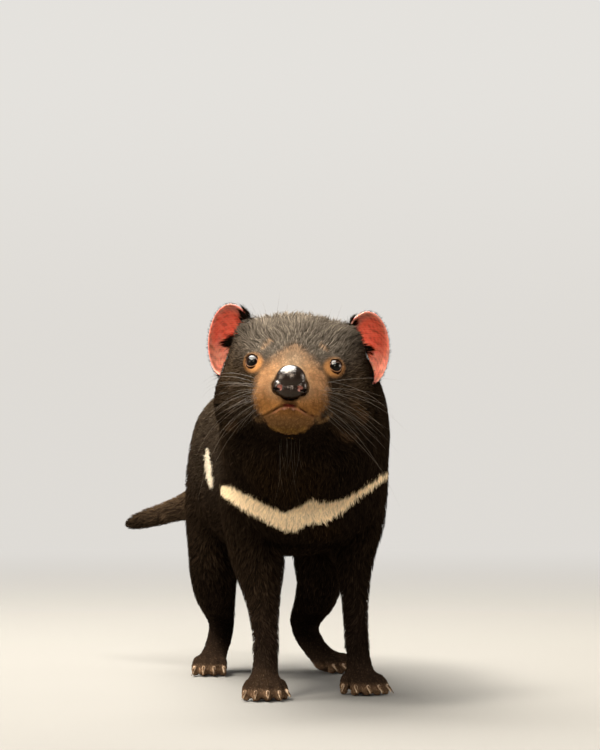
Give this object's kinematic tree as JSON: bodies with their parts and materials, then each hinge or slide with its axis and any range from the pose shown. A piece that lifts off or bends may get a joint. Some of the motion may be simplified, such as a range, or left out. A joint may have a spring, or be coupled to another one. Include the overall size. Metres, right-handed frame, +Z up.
{
  "type": "tasmanian devil",
  "caption": "Still, life-size Tasmanian devil standing on all four feet, head raised and turned to its right, tail held back.",
  "frame": {"origin": "on the floor, under the middle of the animal's outline seen from above", "axes": "+Z up, the animal faces -Y, its right side is at -X, its tail points to +Y"},
  "size_m": [0.1964, 0.7266, 0.3311],
  "materials": {
    "coat": "short dense black-brown fur, faintly glossy",
    "paw_skin": "dark brown short-haired skin with horn claws",
    "ear_skin": "thin, nearly bare red-pink skin",
    "nose_skin": "wet black nose pad",
    "eye_gloss": "wet dark brown eye"
  },
  "bodies": {
    "root": {"head": "coat", "neck": "coat", "torso": "coat", "tail": "coat", "nose": "nose_skin", "ear_left": "ear_skin", "ear_right": "ear_skin", "eye_left": "eye_gloss", "eye_right": "eye_gloss", "upper_foreleg_left": "coat", "lower_foreleg_left": "coat", "forepaw_left": "paw_skin", "thigh_left": "coat", "shank_left": "coat", "hind_paw_left": "paw_skin", "upper_foreleg_right": "coat", "lower_foreleg_right": "coat", "forepaw_right": "paw_skin", "thigh_right": "coat", "shank_right": "coat", "hind_paw_right": "paw_skin"}
  },
  "joints": []
}
